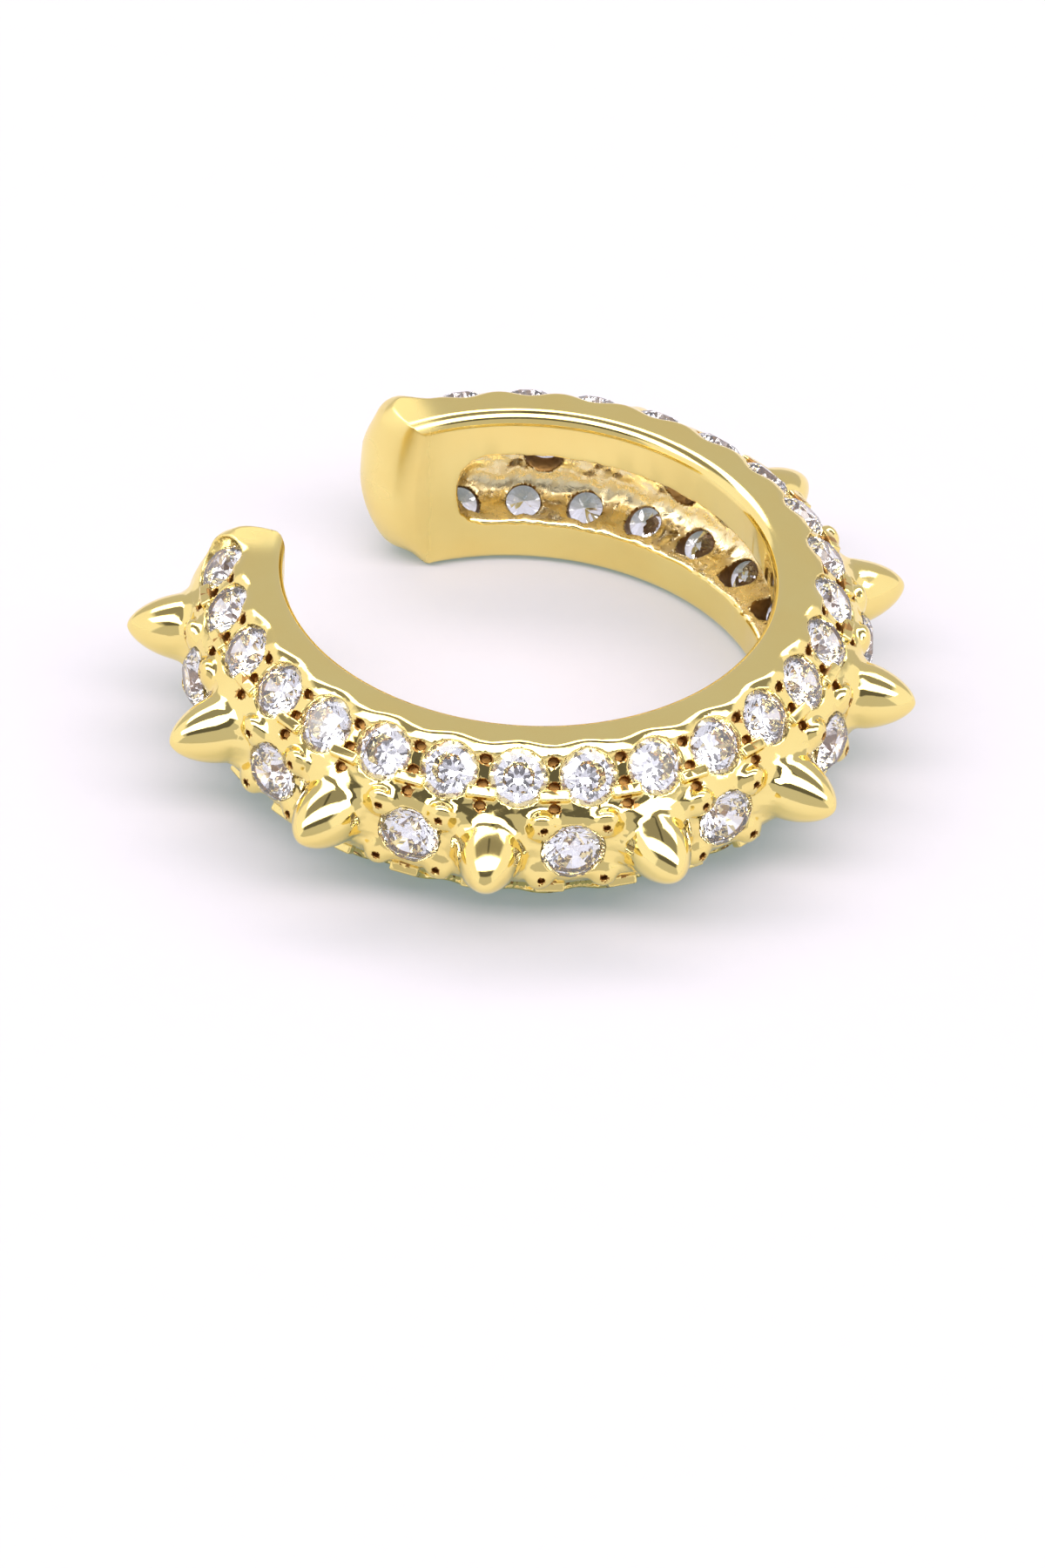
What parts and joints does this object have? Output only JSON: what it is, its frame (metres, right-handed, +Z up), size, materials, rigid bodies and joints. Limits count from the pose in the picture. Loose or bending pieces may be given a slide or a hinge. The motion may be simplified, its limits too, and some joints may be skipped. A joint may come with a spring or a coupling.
{
  "type": "ear cuff",
  "caption": "Open C-shaped ear cuff lying on its side, hollowed from inside, with small spikes and rows of round stones around the outside.",
  "frame": {"origin": "centre of the bounding box on the surface that the cuff lies on", "axes": "+Z up along the ring axis, the opening of the C towards -X, +Y across the opening"},
  "size_m": [0.014, 0.0153, 0.0036],
  "materials": {
    "gold_plated_brass": "polished, gold plated",
    "clear_crystal": "faceted, polished"
  },
  "bodies": {
    "root": {"cuff_band": "gold_plated_brass", "upper_stone_01": "clear_crystal", "upper_stone_02": "clear_crystal", "upper_stone_03": "clear_crystal", "upper_stone_04": "clear_crystal", "upper_stone_05": "clear_crystal", "upper_stone_06": "clear_crystal", "upper_stone_07": "clear_crystal", "upper_stone_08": "clear_crystal", "upper_stone_09": "clear_crystal", "upper_stone_10": "clear_crystal", "upper_stone_11": "clear_crystal", "upper_stone_12": "clear_crystal", "upper_stone_13": "clear_crystal", "upper_stone_14": "clear_crystal", "upper_stone_15": "clear_crystal", "upper_stone_16": "clear_crystal", "upper_stone_17": "clear_crystal", "upper_stone_18": "clear_crystal", "upper_stone_19": "clear_crystal", "upper_stone_20": "clear_crystal", "upper_stone_21": "clear_crystal", "upper_stone_22": "clear_crystal", "upper_stone_23": "clear_crystal", "centre_stone_01": "clear_crystal", "centre_stone_02": "clear_crystal", "centre_stone_03": "clear_crystal", "centre_stone_04": "clear_crystal", "centre_stone_05": "clear_crystal", "centre_stone_06": "clear_crystal", "centre_stone_07": "clear_crystal", "centre_stone_08": "clear_crystal", "centre_stone_09": "clear_crystal", "centre_stone_10": "clear_crystal"}
  },
  "joints": []
}
